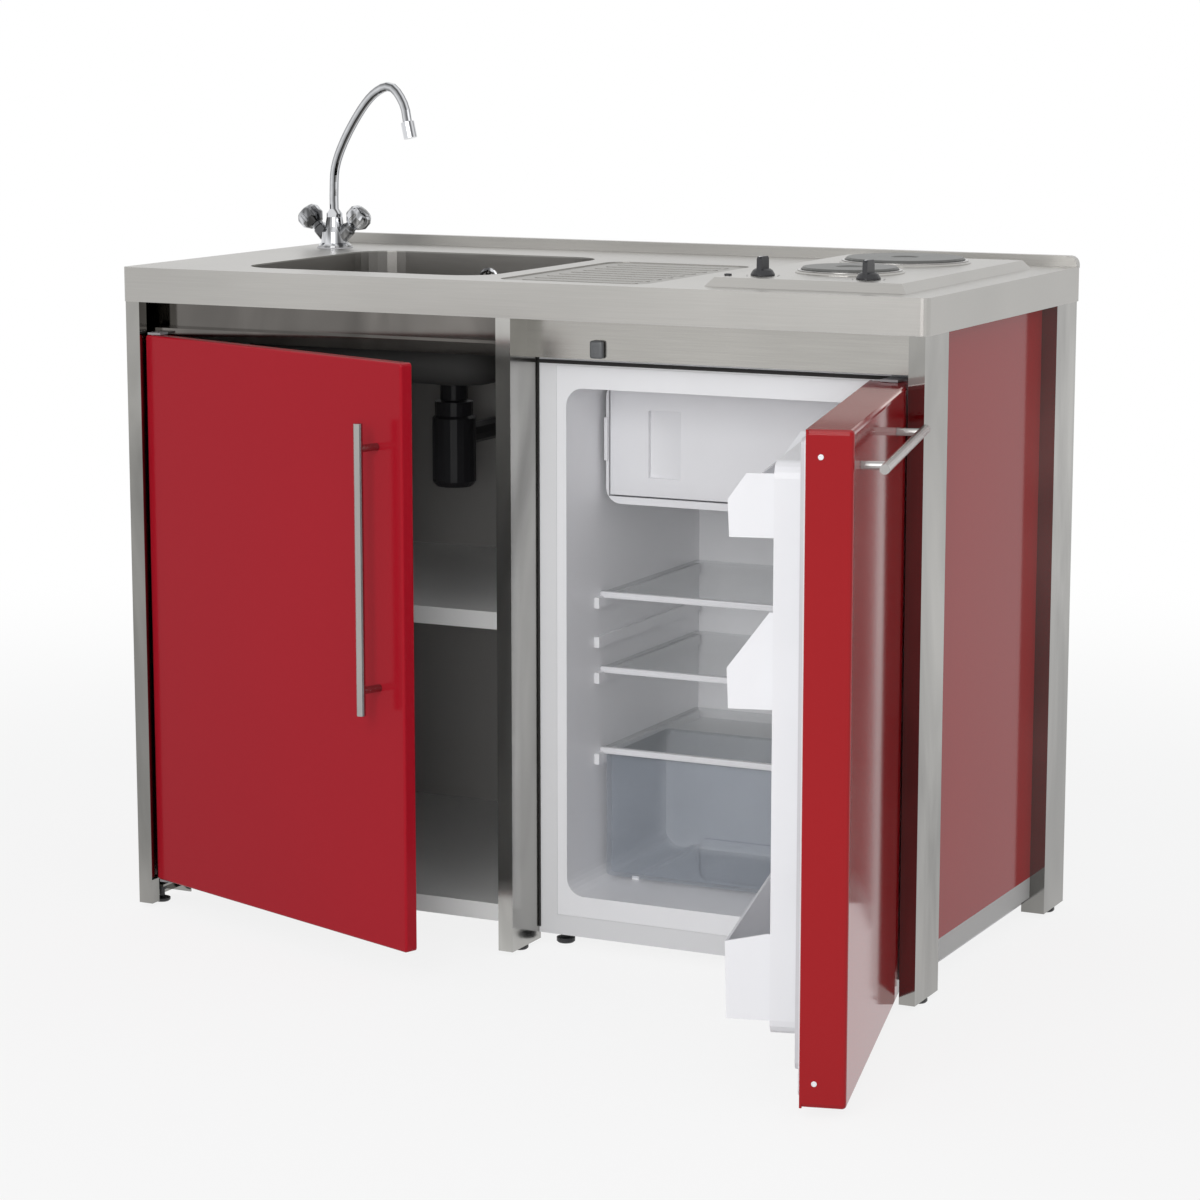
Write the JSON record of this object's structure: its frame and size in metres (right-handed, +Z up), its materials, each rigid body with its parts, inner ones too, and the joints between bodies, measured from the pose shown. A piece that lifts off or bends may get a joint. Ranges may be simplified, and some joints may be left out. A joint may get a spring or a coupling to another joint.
{
  "type": "kitchenette unit with sink and hob",
  "caption": "Free-standing compact kitchen on steel posts: pressed worktop with sink, drainer, tap and electric hob over a shelved cupboard and a fridge with opening doors.",
  "frame": {"origin": "on the floor, under the centre of the front centre post's foot", "axes": "+X to the right along the worktop, +Y to the back, +Z up; the doors face -Y"},
  "size_m": [1.3151, 1.0617, 1.1685],
  "materials": {
    "polished_steel": "mirror polished stainless steel",
    "worktop_steel": "brushed stainless steel",
    "chrome": "bright chrome",
    "cast_iron": "coated grey cast iron",
    "zinc_steel": "zinc plated sheet",
    "red_gloss": "glossy red enamel",
    "grey_sheet": "light grey painted sheet",
    "white_enamel": "white enamel",
    "white_plastic": "white moulded plastic",
    "clear_plastic": "clear moulded plastic",
    "blue_plastic": "clear bluish plastic",
    "glass": "toughened glass",
    "soft_grey": "soft grey seal",
    "black_plastic": "black plastic",
    "black_steel": "black paint"
  },
  "bodies": {
    "unit": {"post_front_left": "polished_steel", "post_front_centre": "polished_steel", "post_front_right": "polished_steel", "post_rear_left": "polished_steel", "post_rear_right": "polished_steel", "sink_strainer": "polished_steel", "fascia_left": "polished_steel", "fascia_right": "polished_steel", "worktop": "worktop_steel", "sink_bowl": "worktop_steel", "hob_plate": "worktop_steel", "tap_body": "chrome", "hotplate_large": "cast_iron", "hotplate_small": "cast_iron", "hob_box": "zinc_steel", "cupboard_hinge_top": "zinc_steel", "cupboard_hinge_bottom": "zinc_steel", "fridge_hinge_top": "zinc_steel", "fridge_hinge_bottom": "zinc_steel", "side_panel_left": "red_gloss", "side_panel_right": "red_gloss", "side_rail_left": "grey_sheet", "side_rail_right": "grey_sheet", "cupboard_wall": "grey_sheet", "cupboard_partition": "grey_sheet", "cupboard_floor": "grey_sheet", "cupboard_back": "grey_sheet", "cupboard_shelf": "grey_sheet", "fridge_shell": "white_enamel", "fridge_liner": "white_plastic", "freezer_box": "white_plastic", "shelf_upper": "glass", "shelf_lower": "glass", "crisper_cover": "glass", "foot_front_left": "black_plastic", "foot_front_centre": "black_plastic", "foot_front_right": "black_plastic", "foot_rear_left": "black_plastic", "foot_rear_right": "black_plastic", "fridge_foot_left": "black_plastic", "fridge_foot_right": "black_plastic", "sink_trap": "black_plastic", "compressor": "black_steel", "condenser": "black_steel"},
    "cupboard_door": {"cupboard_door": "red_gloss", "cupboard_handle": "polished_steel"},
    "fridge_door": {"fridge_door_casing": "red_gloss", "fridge_door_inner": "white_plastic", "fridge_door_gasket": "soft_grey", "rack_top": "clear_plastic", "rack_middle": "clear_plastic", "rack_bottom": "clear_plastic", "fridge_handle": "polished_steel"},
    "freezer_flap": {"freezer_flap": "white_plastic"},
    "crisper": {"crisper_drawer": "blue_plastic"},
    "spout": {"tap_spout": "chrome"},
    "tap_knob_left": {"tap_knob_left": "chrome"},
    "tap_knob_right": {"tap_knob_right": "chrome"},
    "hob_knob_left": {"hob_knob_left": "black_plastic"},
    "hob_knob_right": {"hob_knob_right": "black_plastic"}
  },
  "joints": [
    {"name": "cupboard_door_hinge", "type": "hinge", "parent": "unit", "child": "cupboard_door", "pos_m": [-0.561, -0.026, 0.433], "axis": [0, 0, -1], "range_deg": [-20, 78]},
    {"name": "fridge_door_hinge", "type": "hinge", "parent": "unit", "child": "fridge_door", "pos_m": [0.534, 0, 0.41], "axis": [0, 0, 1], "range_deg": [-104, 2]},
    {"name": "freezer_flap_hinge", "type": "hinge", "parent": "unit", "child": "freezer_flap", "pos_m": [0.5, 0.147, 0.69], "axis": [0, 0, 1], "range_deg": [0, 60]},
    {"name": "crisper_slide", "type": "slide", "parent": "unit", "child": "crisper", "axis": [0, -1, 0], "range_m": [0, 0.17]},
    {"name": "spout_swivel", "type": "hinge", "parent": "unit", "child": "spout", "pos_m": [-0.533, 0.427, 0.966], "axis": [0, 0, 1], "range_deg": [-60, 60]},
    {"name": "tap_knob_left_turn", "type": "hinge", "parent": "unit", "child": "tap_knob_left", "pos_m": [-0.56467, 0.427, 0.95567], "axis": [-0.7071, 0, 0.7071], "range_deg": [0, 360]},
    {"name": "tap_knob_right_turn", "type": "hinge", "parent": "unit", "child": "tap_knob_right", "pos_m": [-0.50133, 0.427, 0.95567], "axis": [0.7071, 0, 0.7071], "range_deg": [0, 360]},
    {"name": "hob_knob_left_turn", "type": "hinge", "parent": "unit", "child": "hob_knob_left", "pos_m": [0.33, 0.06, 0.932], "axis": [0, 0, -1], "range_deg": [0, 270]},
    {"name": "hob_knob_right_turn", "type": "hinge", "parent": "unit", "child": "hob_knob_right", "pos_m": [0.478, 0.06, 0.932], "axis": [0, 0, -1], "range_deg": [0, 270]}
  ]
}
